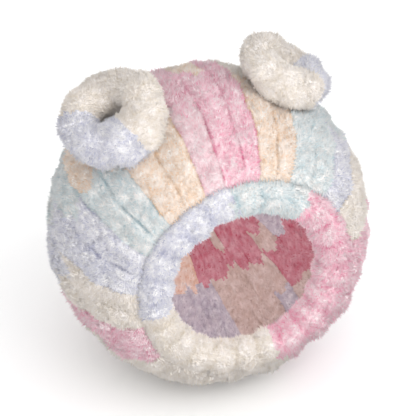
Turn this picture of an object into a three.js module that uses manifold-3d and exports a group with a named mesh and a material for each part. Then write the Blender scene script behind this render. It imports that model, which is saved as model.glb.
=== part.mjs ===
// A snuggle hut for a small bird, knitted from thick chenille yarn: a hollow ball with a round
// doorway, a rolled rim sewn round the doorway, and two ear loops of the same yarn on top.
// Millimetres, +Z up, the doorway facing -Y, the origin at the centre of the flat underside.
import * as THREE from 'three';
import Module from 'manifold-3d';
import { mergeVertices } from 'three/addons/utils/BufferGeometryUtils.js';

const wasm = await Module();
wasm.setup();

// The ball: a knitted wall, one strand thick
const BALL_RADIUS = 94; // to the crest of a rib
const BALL_HEIGHT = 89; // from the floor to the centre, so the underside is pressed flat
const WALL = 14;
const INNER_RADIUS = BALL_RADIUS - WALL;
const POLE_DIMPLE = 5; // where the ribs are drawn together at the back
const POLE_DIMPLE_REACH = 16; // degrees

// The ribs run from the doorway's rim to the back. Angles go clockwise from the top of the
// doorway, as seen from in front of it.
const RIB_EDGES_IN_FRONT = [
  -118, -107, -97, -86, -75, -64, -53.5, -44.5, -33, -22.5, -12.5, -2, 5.5, 14.5, 22, 33, 44, 59,
];
const RIBS_BEHIND = 17; // evenly spaced over the rest of the turn
const RIB_STEPS = 3; // points across one rib
const RIB_DEPTH = 2.6; // of the crease between two ribs
const RIB_TWIST = 6; // degrees that a rib leans round between the rim and the widest part
const RIB_TWIST_REACH = 22;
const RELIEF_AT_RIM = { none: 46, full: 56 }; // degrees from the doorway's axis
const RELIEF_AT_BACK = { none: 4, full: 35 }; // degrees from the back
const SWELL = 0.7; // how far the hand-knitted ball is out of round

// The wall in section. Its edge is cupped where the rim lies in it, at slant degrees round the
// rim from the direction along the wall, and turns over a shoulder to the crests.
const EDGE_SLANTS = [-2, 17, 36, 55];
const SHOULDER = [
  { back: 47.2, radius: 90.6 },
  { back: 50, radius: 92.9 },
];
const CRESTS = { from: 54, to: 176, rows: 17 };
const INSIDE_ROWS = 10;
const BALL_ROWS = 26; // of the plain ball that the ears are cut to

// The rim: one thick round of yarn, seen as a ring of lumps
const RIM_PLACE = 42; // degrees from the doorway's axis
const RIM_DISTANCE = 78.8; // from the centre of the ball to the core of the rim
const RIM_TUBE = 10.7;
const RIM_LUMPS = 22;
const RIM_LUMP_DEPTH = 0.9;
const RIM_LUMP_STEPS = 4;
const RIM_SIDES = 14;

const EAR_GAP = 0.35; // from an ear to the ribs that it is sewn to
const RIM_GAP = 0.5; // from the rim's lumps to the wall's edge, less across the flats of the mesh

// The ears: each is a ring of one strand, sewn on flat and tipped a little towards the front.
// around and back, in degrees, place it on the ball, and lift is its core's height over the
// crests. tip and lean turn its axis forwards and sideways. wide and deep are the core's half
// sizes, turn is the way that the wide one points, and the back half droops over the ball.
const EARS = [
  {
    node: 'left_ear_loop', colour: '#dcdce8', strand: 12,
    around: -34, back: 87, lift: 10.5, tip: 18, lean: 0, wide: 19, deep: 18.5, turn: -30, droop: 8,
  },
  {
    node: 'right_ear_loop', colour: '#ece6df', strand: 10.6,
    around: 25.5, back: 88, lift: 10.8, tip: 12, lean: 2, wide: 16.5, deep: 15, turn: -30, droop: 5,
  },
];
const EAR_SIDES = 14;
const EAR_STEPS = 28;
const EAR_LUMPS = 9;
const EAR_LUMP_DEPTH = 0.5;

const RIB_COLOUR = '#eedbe0';
const RIM_COLOUR = '#e4e4ee';

const radians = THREE.MathUtils.degToRad;
const TURN = 2 * Math.PI;

const firstEdge = RIB_EDGES_IN_FRONT[0];
const lastEdge = RIB_EDGES_IN_FRONT[RIB_EDGES_IN_FRONT.length - 1];
const pitchBehind = (firstEdge + 360 - lastEdge) / RIBS_BEHIND;
const ribEdges = [...RIB_EDGES_IN_FRONT];
for (let i = 1; i <= RIBS_BEHIND; i += 1) ribEdges.push(lastEdge + i * pitchBehind);
const RIBS = ribEdges.length - 1;

// The place on the ball of a point at angle around the doorway's axis, and back from it, radians.
function onBall(around, back, radius) {
  return new THREE.Vector3(
    radius * Math.sin(back) * Math.sin(around),
    -radius * Math.cos(back),
    radius * Math.sin(back) * Math.cos(around),
  );
}

// Where rib number count (with a fraction) lies round the doorway, at a place back from it.
function ribAngle(count, back) {
  const whole = Math.floor(count);
  const edge = THREE.MathUtils.lerp(ribEdges[whole], ribEdges[whole + 1], count - whole);
  const pastRim = Math.max(0, THREE.MathUtils.radToDeg(back) - RIM_PLACE);
  const reachedTop = Math.max(0, Math.cos(radians(edge)));
  const lean = RIB_TWIST * reachedTop * (1 - Math.exp(-pastRim / RIB_TWIST_REACH));
  return radians(edge + lean);
}

// How much of the ribs' relief shows: none where the wall meets the rim or closes at the back.
function ribFade(back) {
  const { smoothstep, radToDeg } = THREE.MathUtils;
  const fromRim = smoothstep(radToDeg(back), RELIEF_AT_RIM.none, RELIEF_AT_RIM.full);
  const fromBack = smoothstep(180 - radToDeg(back), RELIEF_AT_BACK.none, RELIEF_AT_BACK.full);
  return fromRim * fromBack;
}

// A slow unevenness, the same every time.
function swell(around, back) {
  const wave = Math.sin(3 * around + 1.1) * Math.sin(2 * back) + Math.sin(7 * around + 4 * back);
  return SWELL * 0.5 * wave;
}

// The wall's outer surface, as a distance from the centre.
function crestRadius(back) {
  const fromPole = THREE.MathUtils.radToDeg(Math.PI - back);
  return BALL_RADIUS - POLE_DIMPLE * Math.exp(-((fromPole / POLE_DIMPLE_REACH) ** 2));
}

const rimCore = new THREE.Vector2(
  RIM_DISTANCE * Math.sin(radians(RIM_PLACE)),
  -RIM_DISTANCE * Math.cos(radians(RIM_PLACE)),
);

// A point of the wall's edge, on a circle round the rim's core.
function edgePoint(slant) {
  const away = radians(slant);
  const place = radians(RIM_PLACE);
  const reach = RIM_TUBE + RIM_GAP;
  const along = reach * Math.cos(away);
  const out = reach * Math.sin(away);
  return new THREE.Vector2(
    rimCore.x + along * Math.cos(place) + out * Math.sin(place),
    rimCore.y + along * Math.sin(place) - out * Math.cos(place),
  );
}

function profilePoint(back, radius) {
  return new THREE.Vector2(radius * Math.sin(back), -radius * Math.cos(back));
}

// The wall in section, from the inside at the back round the doorway's edge to the outside.
function wallProfile() {
  const edge = EDGE_SLANTS.map(edgePoint);
  const insideEnd = Math.atan2(edge[0].x, -edge[0].y);
  const points = [new THREE.Vector2(0, INNER_RADIUS)];
  for (let row = 1; row <= INSIDE_ROWS; row += 1) {
    const back = THREE.MathUtils.lerp(Math.PI, insideEnd, row / (INSIDE_ROWS + 0.5));
    points.push(profilePoint(back, INNER_RADIUS));
  }
  points.push(...edge);
  for (const { back, radius } of SHOULDER) points.push(profilePoint(radians(back), radius));
  for (let row = 0; row < CRESTS.rows; row += 1) {
    const share = row / (CRESTS.rows - 1);
    const back = radians(THREE.MathUtils.lerp(CRESTS.from, CRESTS.to, share));
    points.push(profilePoint(back, crestRadius(back)));
  }
  points.push(new THREE.Vector2(0, crestRadius(Math.PI)));
  return points;
}

// The outer surface of the ball alone, as a closed form that the ears are cut to.
function ballProfile() {
  const points = [new THREE.Vector2(0, -crestRadius(0))];
  for (let row = 1; row < BALL_ROWS; row += 1) {
    const back = Math.PI * row / BALL_ROWS;
    points.push(profilePoint(back, crestRadius(back)));
  }
  points.push(new THREE.Vector2(0, crestRadius(Math.PI)));
  return points;
}

// Turns a plain lathed form into the ribbed one: raises the ribs, leans them, flattens the base.
function rib(geometry, clearance) {
  const position = geometry.getAttribute('position');
  const point = new THREE.Vector3();
  const middle = BALL_RADIUS - WALL / 2;
  const columns = RIBS * RIB_STEPS;
  for (let i = 0; i < position.count; i += 1) {
    point.fromBufferAttribute(position, i);
    const radius = point.length();
    const back = Math.acos(THREE.MathUtils.clamp(-point.y / radius, -1, 1));
    const turned = Math.atan2(point.x, point.z) / TURN + 1;
    const column = Math.round(turned * columns) % columns;
    const around = ribAngle(column / RIB_STEPS, back);
    const crease = column % RIB_STEPS === 0 ? RIB_DEPTH : 0;
    const relief = ribFade(back) * (swell(around, back) - crease) + clearance;
    const moved = onBall(around, back, radius > middle ? radius + relief : radius);
    moved.z = Math.max(moved.z, -BALL_HEIGHT);
    position.setXYZ(i, moved.x, moved.y, moved.z);
  }
  return geometry;
}

// A closed mesh as a solid that can be cut.
function toSolid(geometry) {
  const bare = geometry.clone();
  bare.deleteAttribute('normal');
  bare.deleteAttribute('uv');
  const merged = mergeVertices(bare, 1e-4);
  const index = merged.index.array;
  const triVerts = [];
  for (let i = 0; i < index.length; i += 3) {
    const [a, b, c] = [index[i], index[i + 1], index[i + 2]];
    if (a !== b && b !== c && c !== a) triVerts.push(a, b, c);
  }
  return new wasm.Manifold(new wasm.Mesh({
    numProp: 3,
    vertProperties: merged.getAttribute('position').array,
    triVerts: new Uint32Array(triVerts),
  }));
}

function toGeometry(solid) {
  const mesh = solid.getMesh();
  const geometry = new THREE.BufferGeometry();
  geometry.setAttribute('position', new THREE.BufferAttribute(mesh.vertProperties, 3));
  geometry.setIndex(new THREE.BufferAttribute(mesh.triVerts, 1));
  return geometry;
}

function ribbedWall() {
  return rib(new THREE.LatheGeometry(wallProfile(), RIBS * RIB_STEPS), 0);
}

// The rolled rim: a ring whose section swells at each lump.
function rolledRim() {
  const circle = [];
  for (let side = 0; side <= RIM_SIDES; side += 1) {
    const slant = (side % RIM_SIDES) / RIM_SIDES * TURN;
    circle.push(new THREE.Vector2(
      rimCore.x + RIM_TUBE * Math.cos(slant),
      rimCore.y + RIM_TUBE * Math.sin(slant),
    ));
  }
  const geometry = new THREE.LatheGeometry(circle, RIM_LUMPS * RIM_LUMP_STEPS);
  const position = geometry.getAttribute('position');
  const point = new THREE.Vector3();
  for (let i = 0; i < position.count; i += 1) {
    point.fromBufferAttribute(position, i);
    const around = Math.atan2(point.x, point.z);
    const core = new THREE.Vector3(
      rimCore.x * Math.sin(around), rimCore.y, rimCore.x * Math.cos(around),
    );
    const valley = 0.5 - 0.5 * Math.cos(RIM_LUMPS * around);
    const scale = 1 - valley * RIM_LUMP_DEPTH / RIM_TUBE;
    point.sub(core).multiplyScalar(scale).add(core);
    position.setXYZ(i, point.x, point.y, point.z);
  }
  return geometry;
}

// The core of an ear's ring, as a closed curve in the ball's frame.
class EarCore extends THREE.Curve {
  constructor(ear) {
    super();
    const around = radians(ear.around);
    const back = radians(ear.back);
    const outward = onBall(around, back, 1);
    const forward = onBall(around, back - Math.PI / 2, 1);
    const sideways = new THREE.Vector3(Math.cos(around), 0, -Math.sin(around));
    this.ear = ear;
    this.centre = outward.clone().multiplyScalar(BALL_RADIUS + ear.lift);
    this.axis = outward.multiplyScalar(Math.cos(radians(ear.tip)))
      .addScaledVector(forward, Math.sin(radians(ear.tip)))
      .multiplyScalar(Math.cos(radians(ear.lean)))
      .addScaledVector(sideways, Math.sin(radians(ear.lean)))
      .normalize();
    const flat = sideways.addScaledVector(this.axis, -sideways.dot(this.axis)).normalize();
    this.wideWay = flat.clone().applyAxisAngle(this.axis, radians(ear.turn));
    this.deepWay = flat.clone().applyAxisAngle(this.axis, radians(ear.turn + 90));
  }

  getPoint(t, target = new THREE.Vector3()) {
    const angle = t * TURN;
    const { wide, deep, droop } = this.ear;
    const backHalf = Math.max(0, Math.sin(angle));
    return target.copy(this.centre)
      .addScaledVector(this.wideWay, wide * Math.cos(angle))
      .addScaledVector(this.deepWay, deep * Math.sin(angle))
      .addScaledVector(this.axis, -droop * backHalf ** 2);
  }
}

// A ring of yarn round a closed core, with its section square to the core everywhere.
function yarnRing(ear) {
  const core = new EarCore(ear);
  const nearby = 0.002;
  const points = [];
  const index = [];
  for (let step = 0; step < EAR_STEPS; step += 1) {
    const t = step / EAR_STEPS;
    const place = core.getPoint(t);
    const along = core.getPoint(t + nearby).sub(core.getPoint(t - nearby)).normalize();
    const inward = core.centre.clone().sub(place).normalize();
    const upward = new THREE.Vector3().crossVectors(along, inward).normalize();
    inward.crossVectors(upward, along).normalize();
    const lump = 0.5 - 0.5 * Math.cos(EAR_LUMPS * t * TURN);
    const strand = ear.strand - EAR_LUMP_DEPTH * lump;
    for (let side = 0; side < EAR_SIDES; side += 1) {
      const slant = side / EAR_SIDES * TURN;
      const point = place.clone()
        .addScaledVector(inward, strand * Math.cos(slant))
        .addScaledVector(upward, strand * Math.sin(slant));
      points.push(point.x, point.y, point.z);
      const nextStep = (step + 1) % EAR_STEPS;
      const nextSide = (side + 1) % EAR_SIDES;
      const corner = [
        step * EAR_SIDES + side, nextStep * EAR_SIDES + side,
        nextStep * EAR_SIDES + nextSide, step * EAR_SIDES + nextSide,
      ];
      index.push(corner[0], corner[2], corner[1], corner[0], corner[3], corner[2]);
    }
  }
  const geometry = new THREE.BufferGeometry();
  geometry.setAttribute('position', new THREE.Float32BufferAttribute(points, 3));
  geometry.setIndex(index);
  return geometry;
}

function yarn(colour) {
  return new THREE.MeshStandardMaterial({ color: colour, roughness: 1, metalness: 0 });
}

function piece(name, geometry, colour) {
  const mesh = new THREE.Mesh(geometry, yarn(colour));
  mesh.name = name;
  mesh.position.z = BALL_HEIGHT;
  return mesh;
}

const hut = new THREE.Group();
hut.add(piece('ribbed_body', ribbedWall(), RIB_COLOUR));
hut.add(piece('doorway_rim', rolledRim(), RIM_COLOUR));

const ballForm = toSolid(rib(new THREE.LatheGeometry(ballProfile(), RIBS * RIB_STEPS), EAR_GAP));
for (const ear of EARS) {
  const seated = toSolid(yarnRing(ear)).subtract(ballForm);
  hut.add(piece(ear.node, toGeometry(seated), ear.colour));
}

export default hut;
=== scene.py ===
# A snuggle hut for a small bird, knitted from thick chenille yarn in pastel blocks: a ribbed
# ball with a round doorway, a rolled rim sewn round the doorway, and two ear loops on top.
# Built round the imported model, +Z up, with the doorway facing -Y. The yarn's points are worked
# out in millimetres about the ball's centre, and the angles in its tables are in degrees.
import math

import bpy
import numpy as np
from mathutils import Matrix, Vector, noise


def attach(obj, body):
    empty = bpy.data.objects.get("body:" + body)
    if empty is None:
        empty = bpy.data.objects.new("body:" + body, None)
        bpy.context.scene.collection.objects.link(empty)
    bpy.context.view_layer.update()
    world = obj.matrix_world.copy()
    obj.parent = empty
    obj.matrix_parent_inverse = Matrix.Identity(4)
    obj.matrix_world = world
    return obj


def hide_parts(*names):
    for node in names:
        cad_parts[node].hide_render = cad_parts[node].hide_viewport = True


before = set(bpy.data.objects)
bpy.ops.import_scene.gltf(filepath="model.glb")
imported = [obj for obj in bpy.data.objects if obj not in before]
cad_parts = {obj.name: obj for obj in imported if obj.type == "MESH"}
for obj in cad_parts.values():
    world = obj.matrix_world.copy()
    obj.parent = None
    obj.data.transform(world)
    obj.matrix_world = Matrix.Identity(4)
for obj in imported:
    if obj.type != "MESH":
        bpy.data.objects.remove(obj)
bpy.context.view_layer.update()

# The camera
# It stands to the left of the doorway and above it, a good metre back, with a long lens. It is
# aimed a little above the middle of the ball, so the ball lies low in the picture.
MM = 0.001
CENTRE_HEIGHT = 89.0  # millimetres from the floor to the ball's centre
BALL_CENTRE = Vector((0, 0, CENTRE_HEIGHT)) * MM
CAMERA_AZIMUTH = math.radians(-20)
CAMERA_ELEVATION = math.radians(33)
CAMERA_DISTANCE = 1.1  # metres
LENS_MM = 163.2
AIM_ABOVE_CENTRE = 8.3 * MM


def direction(azimuth, elevation):
    """The way from the hut to a place round it, with azimuth 0 in front of the doorway."""
    level = math.cos(elevation)
    return Vector((math.sin(azimuth) * level, -math.cos(azimuth) * level, math.sin(elevation)))


def add_camera():
    back = direction(CAMERA_AZIMUTH, CAMERA_ELEVATION)
    turned = back.to_track_quat("Z", "Y")
    camera = bpy.data.objects.new("camera", bpy.data.cameras.new("camera"))
    camera.data.lens = LENS_MM
    camera.rotation_mode = "QUATERNION"
    camera.rotation_quaternion = turned
    aim = BALL_CENTRE + turned @ Vector((0, AIM_ABOVE_CENTRE, 0))
    camera.location = aim + back * CAMERA_DISTANCE
    bpy.context.scene.collection.objects.link(camera)
    bpy.context.scene.camera = camera


add_camera()

# The ribbed wall
# One strand of chenille yarn as thick as a thumb, knitted to and fro into ribs that run from the
# doorway to the back, where they are drawn together. The yarn is dyed in runs of six pastels, so
# a rib changes colour along its way. Here is the yarn's body, without its loose fibres.
CREAM, BLUSH, PINK, PEACH, MINT, LAVENDER = range(6)
INSIDE_SHADED_COPY = 6  # added to a yarn's number inside, for its darker, deeper copy: painted shade, tinted by what light comes in

# Each rib's first edge is in degrees round the doorway, clockwise from its top. Each run of yarn
# on it starts at a number of degrees back from the doorway's axis.
UPPER_RIBS = [
    # edge, runs of yarn
    (-118.0, [(0, PINK), (118, LAVENDER)]),
    (-107.0, [(0, CREAM), (86, LAVENDER)]),
    (-97.0, [(0, CREAM), (75, LAVENDER)]),
    (-86.0, [(0, LAVENDER), (92, MINT)]),
    (-75.0, [(0, LAVENDER), (76, MINT)]),
    (-64.0, [(0, MINT), (77, PEACH)]),
    (-53.5, [(0, MINT), (76, PEACH)]),
    (-44.5, [(0, PEACH), (92, MINT)]),
    (-33.0, [(0, PEACH), (84, PINK)]),
    (-22.5, [(0, BLUSH), (76, PINK)]),
    (-12.5, [(0, PINK), (97, PEACH)]),
    (-2.0, [(0, PINK)]),
    (5.5, [(0, PEACH), (93, CREAM)]),
    (14.5, [(0, PEACH), (90, CREAM)]),
    (22.0, [(0, MINT), (79, PEACH)]),
    (33.0, [(0, MINT), (104, LAVENDER)]),
    (44.0, [(0, LAVENDER), (78, MINT)]),
]
# The ribs on the right and underneath are evenly spaced on the outside, up to the first one
# again. Inside, where they show through the doorway, they are uneven and have other runs of yarn.
LOWER_RIBS_FROM = 59.0
LOWER_RIBS = [
    # edge inside, runs outside, runs inside
    (59.0, [(0, CREAM), (100, MINT)], [(0, CREAM)]),
    (72.0, [(0, CREAM), (96, PEACH)], [(0, CREAM), (96, PEACH)]),
    (86.0, [(0, PINK), (98, CREAM)], [(0, PINK), (108, CREAM)]),
    (100.0, [(0, PINK), (90, CREAM)], [(0, CREAM), (92, PINK)]),
    (112.0, [(0, PINK), (84, LAVENDER)], [(0, CREAM), (90, PINK), (114, LAVENDER)]),
    (120.0, [(0, PINK), (90, LAVENDER)], [(0, CREAM), (88, PINK), (113, LAVENDER)]),
    (129.0, [(0, PINK), (84, MINT)], [(0, CREAM), (89, PINK), (112, CREAM), (123, PINK)]),
    (138.0, [(0, PINK), (78, MINT)], [(0, LAVENDER), (92, CREAM), (111, PINK)]),
    (146.0, [(0, PINK), (88, PEACH)], [(0, CREAM), (113, PINK)]),
    (152.0, [(0, CREAM), (104, PEACH)], [(0, CREAM), (118, PINK), (126, CREAM)]),
    (157.0, [(0, CREAM), (98, PINK)], [(0, CREAM), (115, PINK)]),
    (167.0, [(0, CREAM), (84, PINK)], [(0, LAVENDER), (114, PINK)]),
    (172.5, [(0, CREAM), (90, PEACH)], [(0, LAVENDER), (115, PEACH)]),
    (180.0, [(0, CREAM), (84, PEACH)], [(0, LAVENDER), (114, PEACH)]),
    (190.0, [(0, CREAM), (88, BLUSH)], [(0, LAVENDER), (109, PINK)]),
    (207.0, [(0, CREAM), (110, BLUSH)], [(0, LAVENDER), (109, PEACH)]),
    (222.0, [(0, PINK), (70, CREAM)], [(0, CREAM), (100, PEACH)]),
]
RIBS = len(UPPER_RIBS) + len(LOWER_RIBS)
RIB_COLUMNS = 12  # of faces across one rib

CREST = 94.0  # radius to the tips of the pile on a rib
INSIDE = 80.0  # radius to the tips of the pile inside
PILE_DEPTH = 1.9  # from the tips of the loose fibres to the yarn's body
POLE_DIMPLE = 5.0  # by which the ribs are drawn in at the back
POLE_DIMPLE_REACH = 16.0  # degrees from the middle of the back
POLE_KNOT = 1.0  # by which that middle lies deeper than the last row
RIM_PLACE = 42.0  # degrees from the doorway's axis to the middle of the rim's strand
RIM_DISTANCE = 78.8  # from the ball's centre to there
RIM_TUBE = 10.7  # radius of that strand, to the tips of its pile
RIM_PRESS = 1.3  # by which the wall's edge is pressed into the rim's pile
LAST_ROW = 178.0  # degrees back
INSIDE_ROWS = 80
EDGE_SLANTS = (-2.0, 55.0, 7)  # degrees round the rim's strand from and to, rows
SHOULDER = [(47.2, 91.4), (48.6, 92.8), (50.0, 93.6), (51.4, 94.0)]  # degrees back, radius
CRESTS = (53.0, LAST_ROW, 136)  # degrees back from and to, rows


def smoothstep(value, low, high):
    share = np.clip((value - low) / (high - low), 0, 1)
    return share * share * (3 - 2 * share)


def on_ball(around, back, radius):
    """Points at angles round the doorway's axis and back from it, in radians."""
    across = radius * np.sin(back)
    return np.stack([across * np.sin(around), -radius * np.cos(back), across * np.cos(around)], -1)


def rib_edges():
    """The ribs' first edges outside and inside, in degrees, with the first one again at the end."""
    upper = [row[0] for row in UPPER_RIBS]
    again = upper[0] + 360
    width = (again - LOWER_RIBS_FROM) / len(LOWER_RIBS)
    outside = upper + [LOWER_RIBS_FROM + i * width for i in range(len(LOWER_RIBS))] + [again]
    inside = upper + [row[0] for row in LOWER_RIBS] + [again]
    return np.array(outside), np.array(inside)


OUTSIDE_EDGES, INSIDE_EDGES = rib_edges()


def unevenness(points, size):
    """Smooth noise at points, from about -0.6 to 0.6."""
    return np.array([noise.noise(Vector(point) / size) for point in points])


RIB_TWIST = 6.0  # degrees that a rib leans round on the upper side
RIB_TWIST_REACH = 22.0  # degrees past the rim over which most of that lean comes
INSIDE_FROM = 60.0  # degrees back by which the ribs have reached their places inside
WANDER = 1.2  # degrees over which a rib strays from side to side
WANDER_SIZE = 22.0  # length of a bend that it makes


def rib_angle(count, back, outside):
    """Where rib number count, with its fraction, lies round the doorway."""
    numbers = np.arange(RIBS + 1)
    degrees = np.degrees(back)
    edge = np.interp(count, numbers, OUTSIDE_EDGES)
    past_rim = np.maximum(0, degrees - RIM_PLACE)
    reached_top = np.maximum(0, np.cos(np.radians(edge)))
    lean = RIB_TWIST * reached_top * (1 - np.exp(-past_rim / RIB_TWIST_REACH))
    share = smoothstep(degrees, RIM_PLACE, INSIDE_FROM)
    inside = edge + (np.interp(count, numbers, INSIDE_EDGES) - edge) * share
    angle = np.where(outside, edge + lean, inside)
    spots = np.atleast_2d(on_ball(np.radians(angle), back, CREST))
    stray = WANDER * unevenness(spots, WANDER_SIZE).reshape(np.shape(angle))
    return np.radians(angle + stray * smoothstep(degrees, RIM_PLACE, INSIDE_FROM))


def crest_radius(back):
    from_pole = 180 - np.degrees(back)
    return CREST - POLE_DIMPLE * np.exp(-((from_pole / POLE_DIMPLE_REACH) ** 2))


# A point's height on a lump goes by how much nearer the lump's middle is than the next one's.
LUMP_FULL = 0.6  # of the lumps' size, where a lump has its whole height


def lumps(points, size):
    """Uneven puffs, from 0 in the creases between them to 1 on top of each."""
    found = np.empty(len(points))
    for i, point in enumerate(points):
        near = noise.voronoi(Vector(point) / size)[0]
        found[i] = near[1] - near[0]
    return smoothstep(found, 0.0, LUMP_FULL)


def rim_edge_points():
    """The wall's edge in section, cupped round the rim: degrees back and radius of each point."""
    place = math.radians(RIM_PLACE)
    core = (RIM_DISTANCE * math.sin(place), RIM_DISTANCE * math.cos(place))
    points = []
    for slant in np.linspace(*EDGE_SLANTS):
        away = place - math.radians(slant)
        reach = RIM_TUBE - RIM_PRESS
        out = core[0] + reach * math.cos(away)
        forward = core[1] - reach * math.sin(away)
        points.append((math.degrees(math.atan2(out, forward)), math.hypot(out, forward)))
    return points


def wall_rows():
    """The wall in section, from the back inside, round the edge, to the back outside."""
    edge = rim_edge_points()
    inside = np.linspace(LAST_ROW, edge[0][0], INSIDE_ROWS + 1)[:-1]
    outside = np.linspace(*CRESTS)
    degrees = [*inside, *(row[0] for row in edge), *(row[0] for row in SHOULDER), *outside]
    radii = [*(INSIDE + PILE_DEPTH for _ in inside), *(row[1] for row in edge)]
    radii += [row[1] - PILE_DEPTH for row in SHOULDER]
    radii += list(crest_radius(np.radians(outside)) - PILE_DEPTH)
    return np.radians(degrees), np.array(radii)


STITCH = 11.5  # length of a stitch along its rib
STITCH_HEIGHT = 0.3
STITCH_STAGGER = 0.5  # of a stitch, from one rib's stitches to the next one's
STITCH_BEND = 0.3  # of a stitch, by which a row of stitches bends
STITCH_WAVE = 3.0  # radians of that bend across one rib


def stitch_relief(count, back):
    """Each rib's stitches, staggered from rib to rib, from 0 between them to 1 on top."""
    bend = STITCH_BEND * np.sin(STITCH_WAVE * count)
    along = back * (CREST - PILE_DEPTH) / STITCH + STITCH_STAGGER * np.floor(count) + bend
    return 0.5 + 0.5 * np.cos(2 * np.pi * along)


CREASE = 2.0  # depth of the valley between two ribs
INSIDE_CREASE = 0.9  # the same inside
CREASE_SHARPNESS = 7.0  # the higher, the narrower the valley
CREASE_MEAN = 0.6  # share of that depth that a valley has on the whole
CREASE_CHANGE = 0.8  # how much of it comes and goes along a valley
CREASE_CHANGE_SIZE = 9.0  # length over which it does


def rib_valleys(count, spots):
    """The valleys between the ribs, from 0 on top of a rib up to about 1 at its edges."""
    valley = np.abs(2 * (count % 1) - 1) ** CREASE_SHARPNESS
    return valley * (CREASE_MEAN + CREASE_CHANGE * unevenness(spots, CREASE_CHANGE_SIZE))


LUMP_CREASE_SHADE = 0.22  # how much painted shade the line between two lumps gets, next to the crease between two ribs
LUMP_CREASE_SHADE_SHARPNESS = 4  # the higher, the finer the line


def lump_crease_shade(puffs):
    """How much painted shade lies in the lines between lumps."""
    return LUMP_CREASE_SHADE * (1 - puffs) ** LUMP_CREASE_SHADE_SHARPNESS


LUMP = 8.5  # size of the uneven lumps in the yarn
LUMP_HEIGHT = 0.7
SWELL = 11.0  # size of the soft bulges of hand knitting
SWELL_HEIGHT = 3.2
LEVEL = 0.6  # height of a lump or a stitch, from 0 to 1, that lies level with its rib
RELIEF_FROM_RIM = (46, 50)  # degrees back, over which the relief rises beside the rim
RELIEF_FROM_POLE = (3, 26)  # degrees from the middle of the back, over which it rises there
INSIDE_CREASE_SHOWN = 0.4  # how much painted shade a crease inside gets, next to one outside
RIM_GROOVE_SHADE = (45.5, 48.5)  # degrees back, from and to, over which the painted shade in the groove beside the rim fades out
RIM_GROOVE_SHADE_DEPTH = 0.15  # how strong that painted shade is


def ribbed_points(count, back, radius, outside):
    """The wall's points with its relief, their painted shade in creases and by the rim, and how the
    pile stands.
    """
    around = rib_angle(count, back, outside)
    spots = on_ball(around, back, radius)
    valley = rib_valleys(count, spots)
    degrees = np.degrees(back)
    fade = smoothstep(degrees, *RELIEF_FROM_RIM) * smoothstep(180 - degrees, *RELIEF_FROM_POLE)
    puffs = lumps(spots, LUMP)
    stitches = stitch_relief(count, back)
    raised = LUMP_HEIGHT * (puffs - LEVEL) + STITCH_HEIGHT * (stitches - LEVEL) * (1 - valley)
    raised = raised + SWELL_HEIGHT * unevenness(spots, SWELL)
    outward = fade * (raised - CREASE * valley)
    inward = -fade * (raised - INSIDE_CREASE * valley)
    moved = on_ball(around, back, radius + np.where(outside, outward, inward))
    lowest = -(CENTRE_HEIGHT - PILE_DEPTH / 2)
    moved[:, 2] = np.maximum(moved[:, 2], lowest)
    # Painted shade: the creases between ribs, the lines between lumps and the groove beside the rim
    shown = np.where(outside, 1, INSIDE_CREASE_SHOWN) * valley ** 2
    crease_shade = fade * (shown + lump_crease_shade(puffs))
    depth = np.clip(crease_shade + RIM_GROOVE_SHADE_DEPTH * (1 - smoothstep(degrees, *RIM_GROOVE_SHADE)), 0, 1)
    side = np.where(outside, 1, -1)
    return moved, depth, on_ball(around, back, 1) * side[:, None]


def new_mesh(name, points, faces):
    """A mesh from points in millimetres about the ball's centre."""
    mesh = bpy.data.meshes.new(name)
    mesh.from_pydata((np.asarray(points) * MM + np.array(BALL_CENTRE)).tolist(), [], faces)
    mesh.polygons.foreach_set("use_smooth", [True] * len(mesh.polygons))
    mesh.update()
    return mesh


def new_object(name, mesh):
    made = bpy.data.objects.new(name, mesh)
    bpy.context.scene.collection.objects.link(made)
    return made


def set_values(mesh, name, kind, domain, values):
    mesh.attributes.new(name, kind, domain).data.foreach_set("value", values)


def set_vectors(mesh, name, vectors):
    found = mesh.attributes.new(name, "FLOAT_VECTOR", "POINT").data
    found.foreach_set("vector", np.asarray(vectors).ravel())


def grid_faces(rows, columns, closed=False):
    """Faces of a grid that closes round its columns, and, where it is closed, its rows too."""
    faces = []
    for row in range(rows if closed else rows - 1):
        after = (row + 1) % rows
        for column in range(columns):
            beside = (column + 1) % columns
            faces.append((
                row * columns + column, row * columns + beside,
                after * columns + beside, after * columns + column,
            ))
    return faces


def run_yarn(runs, place):
    """The yarn of the run of colour that a place lies in. The last run goes on past the start."""
    reached = [yarn for start, yarn in runs if place >= start]
    return reached[-1] if reached else runs[-1][1]


RUN_POINT = 9.0  # degrees by which a run starts earlier in the middle of its rib than at its edges
INSIDE_RUN_POINT = 4.0  # the same inside
RAGGED = 4.0  # degrees, the unevenness of that start
RAGGED_SIZE = 4.5  # of its steps
MIXED = 4.0  # degrees over which single tufts of both colours lie side by side
MIXED_FINER = 3.7  # times as fine as the steps are those tufts
INSIDE_RAGGED = 0.35  # share of this unevenness that is left inside


def wall_yarn(count, back, outside):
    """The yarn at a place on the wall. A run starts in a ragged point on its rib."""
    near = Vector(on_ball(rib_angle(count, back, outside), back, CREST)) / RAGGED_SIZE
    rib = int(count)
    across = abs(2 * (count - rib) - 1)
    point = RUN_POINT if outside else INSIDE_RUN_POINT
    ragged = RAGGED * noise.noise(near) + MIXED * noise.noise(near * MIXED_FINER)
    place = math.degrees(back) + ragged * (1 if outside else INSIDE_RAGGED) - point * across
    if rib < len(UPPER_RIBS):
        yarn = run_yarn(UPPER_RIBS[rib][1], place)
    else:
        yarn = run_yarn(LOWER_RIBS[rib - len(UPPER_RIBS)][1 if outside else 2], place)
    # Inside, a yarn takes its darker copy, painted shade
    return yarn if outside else yarn + INSIDE_SHADED_COPY


QUARTERS = ["top", "right", "under", "left"]
INSIDE_GROWTH = len(QUARTERS)


def wall_growth(count, back, outside):
    """Where fibres grow: the number of the outside's quarter, or the inside."""
    around = math.degrees(rib_angle(count, back, outside))
    quarter = 360 / len(QUARTERS)
    return int((around + quarter / 2) % 360 // quarter) if outside else INSIDE_GROWTH


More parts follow.
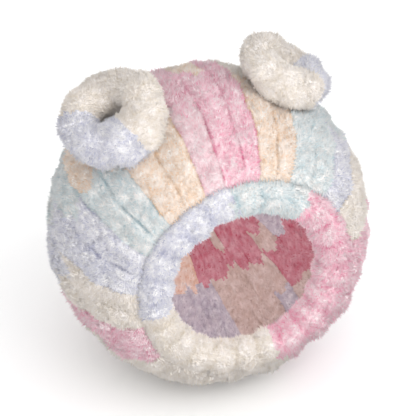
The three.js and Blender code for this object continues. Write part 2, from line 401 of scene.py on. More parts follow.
def knit_wall():
    """Both sides of the wall as one closed mesh, marked with yarn, growth, depth (painted shade) and
    stand.
    """
    backs, radii = wall_rows()
    columns = RIBS * RIB_COLUMNS
    outside = np.arange(len(backs)) >= INSIDE_ROWS
    row_of, column_of = np.divmod(np.arange(len(backs) * columns), columns)
    points, depth, stand = ribbed_points(
        column_of / RIB_COLUMNS, backs[row_of], radii[row_of], outside[row_of]
    )
    poles = [[0, radii[0], 0], [0, radii[-1] - POLE_KNOT, 0]]
    faces = grid_faces(len(backs), columns)
    places = [
        ((column + 0.5) / RIB_COLUMNS, (backs[row] + backs[row + 1]) / 2, outside[row])
        for row in range(len(backs) - 1) for column in range(columns)
    ]
    last_row = (len(backs) - 1) * columns
    for column in range(columns):
        beside = (column + 1) % columns
        faces.append((beside, column, len(points)))
        faces.append((last_row + column, last_row + beside, len(points) + 1))
        places += [((column + 0.5) / RIB_COLUMNS, math.pi, side) for side in (False, True)]
    mesh = new_mesh("ribbed_wall", np.vstack([points, poles]), faces)
    set_values(mesh, "yarn", "FLOAT", "FACE", [wall_yarn(*place) for place in places])
    set_values(mesh, "growth", "INT", "FACE", [wall_growth(*place) for place in places])
    set_values(mesh, "depth", "FLOAT", "POINT", [*depth, 0, 0])
    set_vectors(mesh, "stand", np.vstack([stand, [[0, -1, 0], [0, 1, 0]]]))
    return new_object("ribbed_wall", mesh)


# The yarn's finish, with light and shade painted into its colours
# Chenille is two core threads that hold a short, dense pile. Down among the roots the pile lies in
# shade, and the roots' strong colour is painted shade. The tips catch the light, and their pale
# colour is painted light. Inside the hut the pile lies in its own shade, and what light comes in
# has taken up colour on its way, so the colours there are darker copies, painted shade.
YARN_COLOURS_LIT_AND_SHADED = [
    # tips, painted light; roots, painted shade
    ((0.87, 0.82, 0.79), (0.70, 0.61, 0.49)),  # cream
    ((0.84, 0.75, 0.76), (0.79, 0.41, 0.48)),  # blush
    ((0.87, 0.77, 0.78), (0.77, 0.19, 0.34)),  # pink
    ((0.855, 0.81, 0.775), (0.79, 0.50, 0.28)),  # peach
    ((0.835, 0.80, 0.775), (0.43, 0.58, 0.63)),  # mint
    ((0.88, 0.865, 0.86), (0.40, 0.41, 0.57)),  # lavender
    # The inside copies are painted shade: the same yarns darker and deeper, tinted by what light comes
    # in
    ((0.76, 0.63, 0.595), (0.50, 0.33, 0.27)),  # cream inside
    ((0.78, 0.53, 0.58), (0.58, 0.12, 0.21)),  # blush inside
    ((0.71, 0.385, 0.44), (0.48, 0.02, 0.08)),  # pink inside
    ((0.91, 0.77, 0.71), (0.73, 0.35, 0.18)),  # peach inside
    ((0.66, 0.68, 0.68), (0.36, 0.46, 0.48)),  # mint inside
    ((0.74, 0.70, 0.745), (0.33, 0.26, 0.37)),  # lavender inside
]


def add(tree, kind, inputs=None, **settings):
    """Adds a node. An input, by name or number, is a value or another node's output."""
    node = tree.nodes.new(kind)
    for name, value in settings.items():
        setattr(node, name, value)
    for key, value in (inputs or {}).items():
        if isinstance(key, str):
            socket = next(s for s in node.inputs if s.name == key and s.enabled)
        else:
            socket = node.inputs[key]
        if isinstance(value, bpy.types.NodeSocket):
            tree.links.new(value, socket)
        else:
            socket.default_value = value
    return node


def math_node(tree, operation, *values):
    return add(tree, "ShaderNodeMath", dict(enumerate(values)), operation=operation).outputs[0]


def yarn_ramp(tree, column, place):
    """A ramp with one plain step for each yarn colour, the inside's painted-shade copies among them.
    """
    ramp = add(tree, "ShaderNodeValToRGB", {"Fac": place})
    ramp.color_ramp.interpolation = "CONSTANT"
    stops = ramp.color_ramp.elements
    for number, colour_pair in enumerate(YARN_COLOURS_LIT_AND_SHADED):
        stop = stops[0] if number == 0 else stops.new(number / len(YARN_COLOURS_LIT_AND_SHADED))
        stop.position = number / len(YARN_COLOURS_LIT_AND_SHADED)
        stop.color = (*colour_pair[column], 1)
    stops.remove(stops[-1])  # the second stop of a new ramp
    return ramp.outputs["Color"]


def new_material(name):
    material = bpy.data.materials.new(name)
    material.use_nodes = True
    tree = material.node_tree
    tree.nodes.clear()
    shader = add(tree, "ShaderNodeBsdfPrincipled", {
        "Roughness": 0.95,
        "Specular IOR Level": 0.2,
        "Sheen Weight": 0.2,
        "Sheen Roughness": 0.6,
        "Sheen Tint": (1, 1, 1, 1),
    })
    add(tree, "ShaderNodeOutputMaterial", {"Surface": shader.outputs["BSDF"]})
    return material, tree, shader


DARKEST_FIBRE = 0.95  # next to its dye
LIGHTEST_FIBRE = 1.03


def tinted(tree, place, to_tip, shade):
    """The yarn's colour at a place in the chart, between root and tip, a little lighter or darker."""
    # The tips' colours are painted light and the roots' colours painted shade
    tip = yarn_ramp(tree, 0, place)
    root = yarn_ramp(tree, 1, place)
    # A mix node's colours are its inputs 6 and 7 and its output 2
    mixed = add(tree, "ShaderNodeMix", {0: to_tip, 6: root, 7: tip}, data_type="RGBA")
    value = add(tree, "ShaderNodeMapRange", {
        "Value": shade, "To Min": DARKEST_FIBRE, "To Max": LIGHTEST_FIBRE,
    })
    return add(tree, "ShaderNodeHueSaturation", {
        "Value": value.outputs["Result"], "Color": mixed.outputs[2],
    }).outputs["Color"]


def fibre_finish():
    """The loose fibres read their own chart: yarn and shade across it, painted shade to painted light
    up it.
    """
    material, tree, shader = new_material("chenille fibres")
    chart = add(tree, "ShaderNodeUVMap", uv_map="OFBake").outputs["UV"]
    place = add(tree, "ShaderNodeSeparateXYZ", {"Vector": chart})
    shade = math_node(tree, "FRACT", math_node(tree, "MULTIPLY", place.outputs["X"], len(YARN_COLOURS_LIT_AND_SHADED)))
    colour = tinted(tree, place.outputs["X"], place.outputs["Y"], shade)
    tree.links.new(colour, shader.inputs["Base Color"])
    return material


NAP_CREASE = 0.4  # by which a crease lowers the nap's height for its colour: painted shade
NAP_ROOTS = 0.1  # height at which the nap shows the roots' colour, painted shade
NAP_TIPS = 0.6  # height at which it shows the tips' colour, painted light
NAP_GRAIN = 620  # specks to a metre


def nap_finish():
    """The dense nap: strong colour where it is low, painted shade; pale where it stands up, painted
    light; finely uneven.
    """
    material, tree, shader = new_material("chenille nap")
    yarn = add(tree, "ShaderNodeAttribute", attribute_name="yarn").outputs["Fac"]
    place = math_node(tree, "DIVIDE", math_node(tree, "ADD", yarn, 0.5), len(YARN_COLOURS_LIT_AND_SHADED))
    height = add(tree, "ShaderNodeAttribute", attribute_name="nap").outputs["Fac"]
    depth = add(tree, "ShaderNodeAttribute", attribute_name="depth").outputs["Fac"]
    level = math_node(tree, "MULTIPLY_ADD", depth, -NAP_CREASE, height)
    to_tip = add(tree, "ShaderNodeMapRange", {
        "Value": level, "From Min": NAP_ROOTS, "From Max": NAP_TIPS,
    })
    spot = add(tree, "ShaderNodeTexCoord").outputs["Object"]
    fibres = add(tree, "ShaderNodeTexNoise", {
        "Vector": spot, "Scale": NAP_GRAIN, "Detail": 2, "Distortion": 1.0,
    }).outputs[0]
    colour = tinted(tree, place, to_tip.outputs["Result"], fibres)
    tree.links.new(colour, shader.inputs["Base Color"])
    bump = add(tree, "ShaderNodeBump", {"Height": fibres, "Strength": 1.0, "Distance": MM})
    tree.links.new(bump.outputs["Normal"], shader.inputs["Normal"])
    return material


fibre_material = fibre_finish()
nap_material = nap_finish()

# The nap
# The yarn's short pile stands so close that it makes a surface of its own, with small curls all
# over. Here each piece of the yarn's body gets that surface and its finish.
NAP_INPUTS = {
    # name: kind, value
    "Curl Size": ("Float", 2.8 * MM),
    "Curl Height": ("Float", 0.3 * MM),
    "Material": ("Material", None),
}


def vector_math(tree, operation, *values):
    inputs = dict(enumerate(values))
    return add(tree, "ShaderNodeVectorMath", inputs, operation=operation).outputs[0]


def scaled(tree, vector, scale):
    return add(tree, "ShaderNodeVectorMath", {0: vector, "Scale": scale}, operation="SCALE").outputs[0]


def live_output(node):
    """The output that a node has for its kind of data."""
    return next(s for s in node.outputs if s.enabled)


def read(tree, name, kind="FLOAT"):
    """A named attribute of the geometry."""
    return live_output(add(
        tree, "GeometryNodeInputNamedAttribute", {"Name": name}, data_type=kind,
    ))


def store(tree, geometry, name, value, kind="FLOAT", domain="POINT"):
    return add(tree, "GeometryNodeStoreNamedAttribute", {
        "Geometry": geometry, "Name": name, "Value": value,
    }, data_type=kind, domain=domain).outputs["Geometry"]


def new_tree(name, inputs):
    """A modifier's tree with named inputs, and the sockets that give their values in it."""
    tree = bpy.data.node_groups.new(name, "GeometryNodeTree")
    tree.is_modifier = True
    face = tree.interface
    face.new_socket("Geometry", in_out="OUTPUT", socket_type="NodeSocketGeometry")
    face.new_socket("Geometry", in_out="INPUT", socket_type="NodeSocketGeometry")
    for key, (kind, value) in inputs.items():
        socket = face.new_socket(key, in_out="INPUT", socket_type=f"NodeSocket{kind}")
        if value is not None:
            socket.default_value = value
    return tree, add(tree, "NodeGroupInput").outputs


def close_tree(tree, geometry, material):
    smooth = add(tree, "GeometryNodeSetShadeSmooth", {"Geometry": geometry})
    finished = add(tree, "GeometryNodeSetMaterial", {
        "Geometry": smooth.outputs[0], "Material": material,
    })
    add(tree, "NodeGroupOutput", {"Geometry": finished.outputs[0]})


def nap_tree():
    """Raises and lowers the yarn's surface in curls, and marks how high each point lies."""
    tree, given = new_tree("chenille nap", NAP_INPUTS)
    position = add(tree, "GeometryNodeInputPosition").outputs[0]
    scale = math_node(tree, "DIVIDE", 1.0, given["Curl Size"])
    curls = add(tree, "ShaderNodeTexNoise", {
        "Vector": position, "Scale": scale, "Detail": 2.0, "Roughness": 0.6, "Distortion": 0.6,
    }).outputs[0]
    marked = store(tree, given["Geometry"], "nap", curls)
    normal = add(tree, "GeometryNodeInputNormal").outputs[0]
    up_and_down = math_node(tree, "MULTIPLY_ADD", curls, 2.0, -1.0)
    height = math_node(tree, "MULTIPLY", up_and_down, given["Curl Height"])
    raised = add(tree, "GeometryNodeSetPosition", {
        "Geometry": marked, "Offset": scaled(tree, normal, height),
    }).outputs[0]
    close_tree(tree, raised, given["Material"])
    return tree


def put_through(made, tree, sizes):
    """Sends an object's mesh through a tree and keeps the result as plain mesh."""
    modifier = made.modifiers.new(tree.name, "NODES")
    modifier.node_group = tree
    for item in tree.interface.items_tree:
        if item.in_out == "INPUT" and item.name in sizes:
            modifier[item.identifier] = sizes[item.name]
    graph = bpy.context.evaluated_depsgraph_get()
    mesh = bpy.data.meshes.new_from_object(made.evaluated_get(graph))
    made.modifiers.remove(modifier)
    mesh.name = made.name
    made.data = mesh
    return made


nap = nap_tree()
wall = put_through(knit_wall(), nap, {"Material": nap_material})

# The loose fibres
# The ends of the pile stand out of the nap all over, as fine fibres that lean in clumps. Where
# the hut stands on the floor its weight presses them flat.
FIBRE_INPUTS = {
    # name: kind, value
    "Region": ("Int", 0),
    "Spacing": ("Float", 0.76 * MM),
    "Length": ("Float", 2.0 * MM),
    "Width": ("Float", 0.76 * MM),
    "Clump Size": ("Float", 3.0 * MM),
    "Clump Lean": ("Float", 1.4),
    "Stray Lean": ("Float", 0.5),
    "Fleck Size": ("Float", 0.9 * MM),
    "Floor": ("Float", 0.5 * MM),
    "Seed": ("Int", 1),
    "Material": ("Material", None),
}


def random_value(tree, low, high, seed, kind="FLOAT"):
    return live_output(add(tree, "FunctionNodeRandomValue", {
        "Min": low, "Max": high, "Seed": seed,
    }, data_type=kind))


FIBRE_SIDES = 3
SIDE_SLANT = 0.6  # turns the chart off a fibre's own axes, so that each side has width in it


def fibre(tree, given):
    """One fibre: a thin three-sided spike, marked with places up and across it."""
    cone = add(tree, "GeometryNodeMeshCone", {
        "Vertices": FIBRE_SIDES, "Side Segments": 1, "Fill Segments": 1, "Radius Top": 0.0,
        "Radius Bottom": math_node(tree, "MULTIPLY", given["Width"], 0.5),
        "Depth": given["Length"],
    }, fill_type="NGON")
    position = add(tree, "GeometryNodeInputPosition").outputs[0]
    split = add(tree, "ShaderNodeSeparateXYZ", {"Vector": position})
    up = math_node(tree, "DIVIDE", split.outputs["Z"], given["Length"])
    marked = store(tree, cone.outputs["Mesh"], "tip", up)
    side = math_node(tree, "DIVIDE", math_node(
        tree, "MULTIPLY_ADD", split.outputs["Y"], SIDE_SLANT, split.outputs["X"],
    ), given["Width"])
    return store(tree, marked, "side", side)


def fibre_turn(tree, given, normal):
    """Along the surface's normal, leaning with its clump, and spun at random."""
    position = add(tree, "GeometryNodeInputPosition").outputs[0]
    scale = math_node(tree, "DIVIDE", 1.0, given["Clump Size"])
    clump = add(tree, "ShaderNodeTexNoise", {"Vector": position, "Scale": scale, "Detail": 1.0})
    centred = vector_math(tree, "SUBTRACT", clump.outputs[1], (0.5, 0.5, 0.5))
    leaning = scaled(tree, centred, given["Clump Lean"])
    stray = random_value(tree, (-1, -1, -1), (1, 1, 1), given["Seed"], "FLOAT_VECTOR")
    straying = scaled(tree, stray, given["Stray Lean"])
    way = vector_math(tree, "ADD", vector_math(tree, "ADD", normal, leaning), straying)
    aligned = add(tree, "FunctionNodeAlignRotationToVector", {"Vector": way}, axis="Z")
    spin = add(tree, "FunctionNodeAxisAngleToRotation", {
        "Axis": (0, 0, 1), "Angle": random_value(tree, 0.0, math.tau, given["Seed"]),
    })
    return add(tree, "FunctionNodeRotateRotation", {
        "Rotation": aligned.outputs[0], "Rotate By": spin.outputs[0],
    }, rotation_space="LOCAL").outputs[0]


SMALLEST_FIBRE = 0.8  # next to the size given
LARGEST_FIBRE = 1.15
LONG_FIBRE = 0.5  # of its length, by which the longest fibre is longer
LONG_FIBRE_RARITY = 8.0  # the higher, the fewer such fibres


def fibre_size(tree, given):
    """Most fibres are about as long as each other, and a few stand out of the pile."""
    size = random_value(tree, SMALLEST_FIBRE, LARGEST_FIBRE, given["Seed"])
    chance = random_value(tree, 0.0, 1.0, given["Seed"])
    stray = math_node(tree, "POWER", chance, LONG_FIBRE_RARITY)
    longer = math_node(tree, "MULTIPLY_ADD", stray, LONG_FIBRE, 1.0)
    length = math_node(tree, "MULTIPLY", size, longer)
    return add(tree, "ShaderNodeCombineXYZ", {"X": size, "Y": size, "Z": length}).outputs[0]


# A yarn's strip of the chart is 1 wide and 1 high here.
FIBRE_WIDTH_ACROSS = 0.06  # of the strip that a fibre's own width covers
FIBRE_WIDTH_UP = 0.01
FIBRE_HEIGHT_UP = 0.25  # of the strip between a fibre's root, painted shade, and its pale tip, painted light
CREASE_DARKER = 0.8  # of the strip that a fibre lies lower in the deepest crease: painted shade
CHART_LOWEST = 0.02
CHART_HIGHEST = 0.98


def fibre_chart(tree, geometry):
    """The pile's own UV map: yarn and shade across it, painted shade at the root to painted light at
    the tip, up it.
    """
    side = read(tree, "side")
    shade = math_node(tree, "MULTIPLY_ADD", side, FIBRE_WIDTH_ACROSS, read(tree, "shade"))
    cell = math_node(tree, "ADD", read(tree, "yarn"), shade)
    across = math_node(tree, "DIVIDE", cell, float(len(YARN_COLOURS_LIT_AND_SHADED)))
    # Creases and flecks move a fibre down the chart, towards the roots' painted shade
    open_pile = math_node(tree, "MULTIPLY_ADD", read(tree, "depth"), -CREASE_DARKER, 1.0)
    tip = math_node(tree, "SUBTRACT", open_pile, read(tree, "fleck"))
    root = math_node(tree, "SUBTRACT", tip, FIBRE_HEIGHT_UP)
    up = math_node(tree, "MULTIPLY_ADD", read(tree, "tip"), FIBRE_HEIGHT_UP, root)
    up = math_node(tree, "MULTIPLY_ADD", side, FIBRE_WIDTH_UP, up)
    up = add(tree, "ShaderNodeClamp", {
        "Value": up, "Min": CHART_LOWEST, "Max": CHART_HIGHEST,
    }).outputs[0]
    chart = add(tree, "ShaderNodeCombineXYZ", {"X": across, "Y": up})
    return store(tree, geometry, "OFBake", chart.outputs[0], "FLOAT2", "CORNER")


FLOOR_PRESS = 0.9  # share of its way below the floor's line by which a fibre is lifted


def pressed_flat(tree, given, geometry):
    """Presses the fibres under the hut flat, so that they stay above the floor."""
    position = add(tree, "GeometryNodeInputPosition").outputs[0]
    height = add(tree, "ShaderNodeSeparateXYZ", {"Vector": position}).outputs["Z"]
    under = math_node(tree, "MAXIMUM", math_node(tree, "SUBTRACT", given["Floor"], height), 0.0)
    raised = math_node(tree, "MULTIPLY", under, FLOOR_PRESS)
    lift = add(tree, "ShaderNodeCombineXYZ", {"Z": raised})
    return add(tree, "GeometryNodeSetPosition", {
        "Geometry": geometry, "Offset": lift.outputs[0],
    }).outputs["Geometry"]


FLECK_EDGE = 0.5  # noise at which a fleck begins
FLECK_MIDDLE = 0.8  # noise at which it is at its deepest
FLECK_DEPTH = 0.43  # in the chart, towards the roots' painted shade
DARK_FIBRE_DEPTH = 0.32  # of a single fibre, in the chart, towards the roots' painted shade
DARK_FIBRE_RARITY = 3.0  # the higher, the fewer such fibres


def flecks(tree, given):
    """Small places where the pile opens and the roots' colour, painted shade, shows."""
    position = add(tree, "GeometryNodeInputPosition").outputs[0]
    scale = math_node(tree, "DIVIDE", 1.0, given["Fleck Size"])
    patches = add(tree, "ShaderNodeTexNoise", {"Vector": position, "Scale": scale, "Detail": 1.0})
    opened = add(tree, "ShaderNodeMapRange", {
        "Value": patches.outputs[0], "From Min": FLECK_EDGE, "From Max": FLECK_MIDDLE,
    }).outputs[0]
    chance = random_value(tree, 0.0, 1.0, given["Seed"])
    single = math_node(tree, "POWER", chance, DARK_FIBRE_RARITY)
    open_pile = math_node(tree, "MULTIPLY", opened, FLECK_DEPTH)
    return math_node(tree, "MULTIPLY_ADD", single, DARK_FIBRE_DEPTH, open_pile)


# How much of a fibre's light goes by its own side, by the nap under it and by the broad form
OWN_LIGHT = 0.5
NAP_LIGHT = 0.4
BROAD_LIGHT = 2.4


def softened(tree, geometry):
    """Lights a fibre much as the pile round it, since light passes through such thin fibres."""
    own = scaled(tree, add(tree, "GeometryNodeInputNormal").outputs[0], OWN_LIGHT)
    relief = scaled(tree, read(tree, "relief", "FLOAT_VECTOR"), NAP_LIGHT)
    stand = scaled(tree, read(tree, "stand", "FLOAT_VECTOR"), BROAD_LIGHT)
    lit = vector_math(tree, "ADD", vector_math(tree, "ADD", own, relief), stand)
    return add(tree, "GeometryNodeSetMeshNormal", {
        "Mesh": geometry, "Custom Normal": lit,
    }, mode="FREE", domain="POINT").outputs[0]


DENSEST = 8e6  # fibres on a square metre, before those nearer than the spacing are left out
SHADE_FROM = 0.1  # of a yarn's strip of the chart, so that no fibre reads the next yarn
SHADE_TO = 0.9
FIBRE_MARKS = (
    "side", "tip", "shade", "fleck", "stand", "relief", "yarn", "growth", "depth", "nap",
)


def fibre_tree():
    """Plants fibres on one region, lights and charts them, and takes the marks off again."""
    tree, given = new_tree("loose fibres", FIBRE_INPUTS)
    chosen = add(tree, "FunctionNodeCompare", {
        "A": read(tree, "growth", "INT"), "B": given["Region"],
    }, data_type="INT", operation="EQUAL").outputs[0]
    spread = add(tree, "GeometryNodeDistributePointsOnFaces", {
        "Mesh": given["Geometry"], "Selection": chosen, "Distance Min": given["Spacing"],
        "Density Max": DENSEST, "Seed": given["Seed"],
    }, distribute_method="POISSON")
    shade = random_value(tree, SHADE_FROM, SHADE_TO, given["Seed"])
    roots = store(tree, spread.outputs["Points"], "shade", shade)
    roots = store(tree, roots, "fleck", flecks(tree, given))
    roots = store(tree, roots, "relief", spread.outputs["Normal"], "FLOAT_VECTOR")
    planted = add(tree, "GeometryNodeInstanceOnPoints", {
        "Points": roots, "Instance": fibre(tree, given),
        "Rotation": fibre_turn(tree, given, spread.outputs["Normal"]),
        "Scale": fibre_size(tree, given),
    })
    real = add(tree, "GeometryNodeRealizeInstances", {"Geometry": planted.outputs[0]})
    flat = pressed_flat(tree, given, real.outputs[0])
    charted = fibre_chart(tree, softened(tree, flat))
    for name in FIBRE_MARKS:
        charted = add(tree, "GeometryNodeRemoveAttribute", {
            "Geometry": charted, "Name": name,
        }).outputs[0]
    close_tree(tree, charted, given["Material"])
    return tree


fibres = fibre_tree()


def grow(name, core, **sizes):
    """Grows fibres on one region of a core, as a piece of plain mesh."""
    wanted = {"Material": fibre_material, **sizes}
    return put_through(new_object(name, core.data), fibres, wanted)


INSIDE_SPACING = 1.5 * MM  # wider, since the fibres inside show little
wall_pile = [
    grow(f"wall_pile_{side}", wall, Region=number, Seed=number + 1)
    for number, side in enumerate(QUARTERS)
]
wall_pile.append(grow(
    "wall_pile_inside", wall, Region=INSIDE_GROWTH, Seed=9, Spacing=INSIDE_SPACING,
))
for piece in [wall, *wall_pile]:
    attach(piece, "root")
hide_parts("ribbed_body")

# The doorway's rim
# One thick round of the same yarn, worked in loops round the doorway, so that it puffs up into
# a ring of lumps. It is sewn to the wall's edge.
RING_SIDES = 48  # of faces round the strand of a ring
RING_STAND = 0.7  # how far a ring's pile turns from its own section to stand off the ball
RING_RAGGED = 0.014  # of the way round a ring, the unevenness of the start of a run of colour
RING_LEVEL = 0.7  # height of a puff, from 0 to 1, that lies level with its strand
RIM_COLUMNS = 396
RIM_LUMPS = 22
RIM_LUMP_DEPTH = 1.4
RIM_FULLER = 1.2  # by which the soft rim swells out beyond its plain solid
RIM_SWELL_HEIGHT = 1.8
RIM_PUFF = 11.0  # size of the smaller puffs on the rim
RIM_PUFF_HEIGHT = 0.6
RIM_CREASE_SHOWN = 0.3  # how much painted shade the crease between two lumps gets, next to one between two ribs
RIM_CREASE_SHARPNESS = 6  # the higher, the narrower it looks
SEWN_PLACE = -15.0  # degrees round the rim's section, where it is sewn to the wall
SEWN_PLAIN = 28.0  # degrees to each side of there, up to which it is plainest
SEWN_LUMPY = 60.0  # degrees to each side, from which it is as lumpy as elsewhere
SEWN_RELIEF = 0.6  # share of the lumps' height where it is plainest
SEWN_SHADE_FADE = (22.4, 33.6)  # degrees to each side, over which the painted shade along the seam fades out
# Degrees round the doorway at which each run of colour starts
RIM_RUNS = [(-99, LAVENDER), (-10, MINT), (36, PINK), (161, CREAM), (261, LAVENDER)]


def unit(vector):
    return vector / np.linalg.norm(vector, axis=-1, keepdims=True)


def ring_places(columns):
    """Each point's share of the way round a ring, and its angle round the strand."""
    column, side = np.divmod(np.arange(columns * RING_SIDES), RING_SIDES)
    return column / columns, side / RING_SIDES * math.tau


def ring_object(name, points, outward, depth, runs, start=0, turn=1):
    """A closed ring of yarn. Its runs of colour are told by places from start to start + turn."""
    columns = len(points) // RING_SIDES
    mesh = new_mesh(name, points, grid_faces(columns, RING_SIDES, closed=True))
    yarns = []
    for number, point in enumerate(points):
        column = number // RING_SIDES
        ragged = RING_RAGGED * turn * noise.noise(Vector(point) / RAGGED_SIZE)
        yarns.append(run_yarn(runs, start + turn * (column + 0.5) / columns + ragged))
    set_values(mesh, "yarn", "FLOAT", "FACE", yarns)
    set_values(mesh, "growth", "INT", "FACE", [0] * len(mesh.polygons))
    set_values(mesh, "depth", "FLOAT", "POINT", depth)
    set_vectors(mesh, "stand", outward + RING_STAND * unit(points))
    return put_through(new_object(name, mesh), nap, {"Material": nap_material})


def roll_rim():
    place = math.radians(RIM_PLACE)
    start = RIM_RUNS[0][0]
    share, slant = ring_places(RIM_COLUMNS)
    around = np.radians(start) + share * math.tau
    core = on_ball(around, np.full(len(around), place), RIM_DISTANCE + RIM_FULLER)
    outward = np.stack([
        np.cos(slant) * np.sin(around), -np.sin(slant), np.cos(slant) * np.cos(around),
    ], -1)
    tube = RIM_TUBE + RIM_FULLER - PILE_DEPTH
    puffs = lumps(core + outward * tube, RIM_PUFF)
    valley = 0.5 - 0.5 * np.cos(RIM_LUMPS * around)
    from_seam = np.abs((np.degrees(slant) - SEWN_PLACE + 180) % 360 - 180)
    free = SEWN_RELIEF + (1 - SEWN_RELIEF) * smoothstep(from_seam, SEWN_PLAIN, SEWN_LUMPY)
    swell = RIM_SWELL_HEIGHT * unevenness(core + outward * tube, SWELL)
    raised = RIM_PUFF_HEIGHT * (puffs - RING_LEVEL) - RIM_LUMP_DEPTH * valley + swell
    points = core + outward * (tube + free * raised)[:, None]
    # Painted shade in the creases between lumps, and along the side sewn to the wall
    crease_shade = RIM_CREASE_SHOWN * valley ** RIM_CREASE_SHARPNESS + lump_crease_shade(puffs)
    sewn = RIM_GROOVE_SHADE_DEPTH * (1 - smoothstep(from_seam, *SEWN_SHADE_FADE))
    depth = np.clip(free * crease_shade + sewn, 0, 1)
    return ring_object("rim_roll", points, outward, depth, RIM_RUNS, start, 360)


rim = roll_rim()
rim_pile = grow("rim_pile", rim, Seed=21)
for piece in (rim, rim_pile):
    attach(piece, "root")
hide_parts("doorway_rim")

# The ear loops
# Each is a ring of one strand, laid flat on the top of the ball, sewn down and tipped a little
# to the front. Its back half droops over the ball.

# An ear lies at degrees round the doorway and back from its axis, and lift is from the ball's
# crest to its middle. Tip and lean turn it to the front and sideways, in degrees. Strand is a
# radius, wide and deep are half the sizes of its core, and turn turns those in its plane. A run
# of colour starts at a share of the way round.
EARS = [
    {
        "name": "left_ear", "node": "left_ear_loop", "slot": "left_ear_yarn", "seed": 31,
        "strand": 13.2, "around": -34, "back": 87, "lift": 10.5, "tip": 18, "lean": 0,
        "wide": 19.0, "deep": 18.5, "turn": -30, "droop": 8.0,
        "runs": [(0.0, CREAM), (0.49, LAVENDER), (0.86, CREAM)],
    },
    {
        "name": "right_ear", "node": "right_ear_loop", "slot": "right_ear_yarn", "seed": 32,
        "strand": 12.2, "around": 25.5, "back": 88, "lift": 10.8, "tip": 12, "lean": 2,
        "wide": 16.5, "deep": 15.0, "turn": -30, "droop": 5.0,
        "runs": [(0.0, LAVENDER), (0.16, CREAM), (0.95, LAVENDER)],
    },
]
EAR_COLUMNS = 144
EAR_STEP = 0.002  # of the way round, to each side of a point, for the way along the core
EAR_PUFF = 12.0  # size of the puffs on an ear
EAR_PUFF_HEIGHT = 0.6
EAR_SWELL_HEIGHT = 3.2
EAR_PRESS = 1.8  # by which an ear's body is pressed into the wall's pile, at most
EAR_SEAT = CREST - EAR_PRESS
EAR_BASE = 8.0  # height over its seat below which an ear spreads out
EAR_SPREAD = 3.5  # by which it does, at its seat


def turned(vector, axis, degrees):
    """A vector square to the axis, turned about it."""
    angle = math.radians(degrees)
    return vector * math.cos(angle) + np.cross(axis, vector) * math.sin(angle)


def ear_frame(ear):
    """An ear's centre, its axis, and the ways in which it is wide and deep."""
    around, back = math.radians(ear["around"]), math.radians(ear["back"])
    outward = on_ball(around, back, 1)
    forward = on_ball(around, back - math.pi / 2, 1)
    sideways = np.array([math.cos(around), 0, -math.sin(around)])
    tip, lean = math.radians(ear["tip"]), math.radians(ear["lean"])
    tipped = outward * math.cos(tip) + forward * math.sin(tip)
    axis = unit(tipped * math.cos(lean) + sideways * math.sin(lean))
    flat = unit(sideways - axis * (sideways @ axis))
    centre = outward * (CREST + ear["lift"])
    return centre, axis, turned(flat, axis, ear["turn"]), turned(flat, axis, ear["turn"] + 90)


def ear_core(ear, share):
    """Points of an ear's core, at shares of its turn."""
    centre, axis, wide_way, deep_way = ear_frame(ear)
    angle = share[:, None] * math.tau
    droop = ear["droop"] * np.maximum(0, np.sin(angle)) ** 2
    return (
        centre + wide_way * ear["wide"] * np.cos(angle)
        + deep_way * ear["deep"] * np.sin(angle) - axis * droop
    )


def seated(points, outward):
    """An ear's points where the ball lets them go, spread out along it near their seat."""
    height = np.linalg.norm(points, axis=1, keepdims=True) - EAR_SEAT
    away = unit(points)
    along_ball = outward - away * np.sum(outward * away, axis=1, keepdims=True)
    points = points + along_ball * EAR_SPREAD * np.clip(1 - height / EAR_BASE, 0, 1)
    return unit(points) * np.maximum(np.linalg.norm(points, axis=1, keepdims=True), EAR_SEAT)


def loop_ear(ear):
    share, slant = ring_places(EAR_COLUMNS)
    core = ear_core(ear, share)
    along = unit(ear_core(ear, share + EAR_STEP) - ear_core(ear, share - EAR_STEP))
    inward = unit(ear_frame(ear)[0] - core)
    upward = unit(np.cross(along, inward))
    inward = np.cross(upward, along)
    outward = inward * np.cos(slant)[:, None] + upward * np.sin(slant)[:, None]
    strand = ear["strand"] - PILE_DEPTH
    puffs = lumps(core + outward * strand, EAR_PUFF)
    swell = EAR_SWELL_HEIGHT * unevenness(core + outward * strand, SWELL)
    thick = strand + EAR_PUFF_HEIGHT * (puffs - RING_LEVEL) + swell
    points = seated(core + outward * thick[:, None], outward)
    # The lines between the ear's puffs get painted shade
    return ring_object(ear["name"], points, outward, lump_crease_shade(puffs), ear["runs"])


for ear in EARS:
    loop = loop_ear(ear)
    ear_pile = grow(ear["name"] + "_pile", loop, Seed=ear["seed"])
    for piece in (loop, ear_pile):
        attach(piece, "root")
    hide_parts(ear["node"])

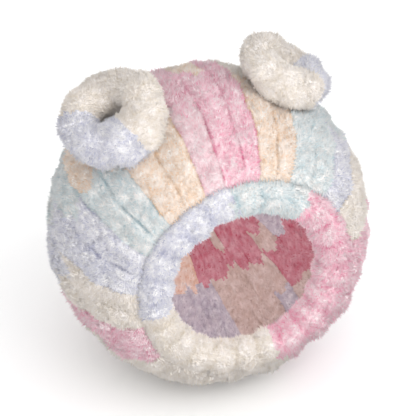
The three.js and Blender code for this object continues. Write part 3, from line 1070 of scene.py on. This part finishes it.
# The floor and the light
# A pale table in a bright room, with two big soft windows in front. A faint lamp in the middle
# of the ball stands for the light that comes in through the knit.
FLOOR_REACH = 4.0  # metres
FLOOR_SIDES = 64
WINDOWS = [
    # name, azimuth, elevation, power
    ("window on the right", 35, 40, 8.4),
    ("window on the left", -20, 30, 6.8),
]
WINDOW_DISTANCE = 1.5  # metres
WINDOW_SIZE = 1.4  # metres
GLOW_SIZE = 25 * MM
GLOW_POWER = 0.1
SKY_STRENGTH = 1.08


def add_floor():
    angles = [2 * math.pi * number / FLOOR_SIDES for number in range(FLOOR_SIDES)]
    ring = [direction(angle, 0) * FLOOR_REACH for angle in angles]
    mesh = bpy.data.meshes.new("floor")
    mesh.from_pydata(ring, [], [tuple(range(FLOOR_SIDES))])
    floor = new_object("floor", mesh)
    material, _, shader = new_material("pale table")
    shader.inputs["Base Color"].default_value = (0.9, 0.9, 0.9, 1)
    shader.inputs["Sheen Weight"].default_value = 0
    mesh.materials.append(material)


def add_window(name, azimuth, elevation, power):
    lamp = bpy.data.lights.new(name, "AREA")
    lamp.size = WINDOW_SIZE
    lamp.energy = power
    window = new_object(name, lamp)
    towards = direction(math.radians(azimuth), math.radians(elevation))
    window.location = BALL_CENTRE + towards * WINDOW_DISTANCE
    window.rotation_mode = "QUATERNION"
    window.rotation_quaternion = towards.to_track_quat("Z", "Y")


def add_glow():
    lamp = bpy.data.lights.new("glow through the knit", "POINT")
    lamp.shadow_soft_size = GLOW_SIZE
    lamp.energy = GLOW_POWER
    glow = new_object("glow through the knit", lamp)
    glow.location = BALL_CENTRE
    glow.visible_camera = False


def add_world():
    world = bpy.data.worlds.new("bright room")
    world.use_nodes = True
    sky = world.node_tree.nodes["Background"]
    sky.inputs["Color"].default_value = (1, 1, 1, 1)
    sky.inputs["Strength"].default_value = SKY_STRENGTH
    bpy.context.scene.world = world
    bpy.context.scene.view_settings.view_transform = "Standard"


add_floor()
for window in WINDOWS:
    add_window(*window)
add_glow()
add_world()
